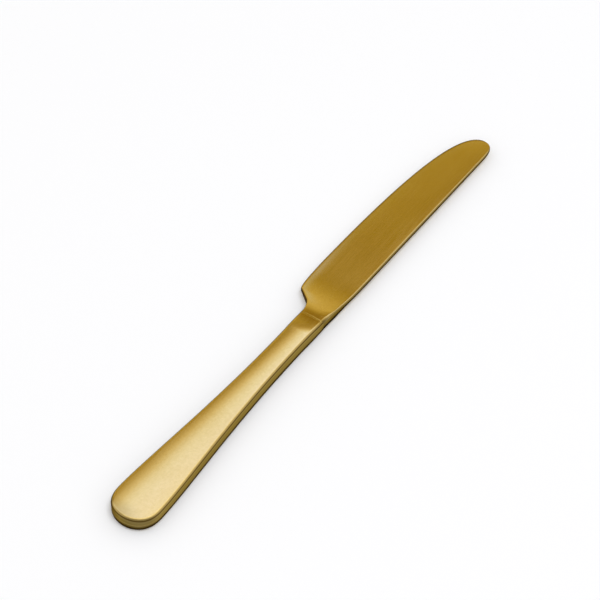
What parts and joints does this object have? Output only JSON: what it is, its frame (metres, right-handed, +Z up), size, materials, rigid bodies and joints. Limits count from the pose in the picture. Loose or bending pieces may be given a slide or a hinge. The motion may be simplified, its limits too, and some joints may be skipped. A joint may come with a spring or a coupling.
{
  "type": "table knife",
  "caption": "Table knife with a rounded, plain-edged blade and a crowned hollow handle that narrows to a neck, all in satin gold-coloured steel.",
  "frame": {"origin": "centre of the footprint, on the surface that the knife lies on", "axes": "+X from the butt of the handle to the tip of the blade, +Y towards the cutting edge, +Z up, square to the blade's middle plane"},
  "size_m": [0.235, 0.0242, 0.0064],
  "materials": {
    "gold_steel": "satin stainless steel with a thin gold-coloured vapour-deposited coating",
    "solder": "dressed flush and coated with the rest",
    "cement": "set cement, never seen"
  },
  "bodies": {
    "root": {"blade": "gold_steel", "handle_front_shell": "gold_steel", "handle_back_shell": "gold_steel", "seam_solder": "solder", "mouth_solder": "solder", "handle_filler": "cement"}
  },
  "joints": []
}
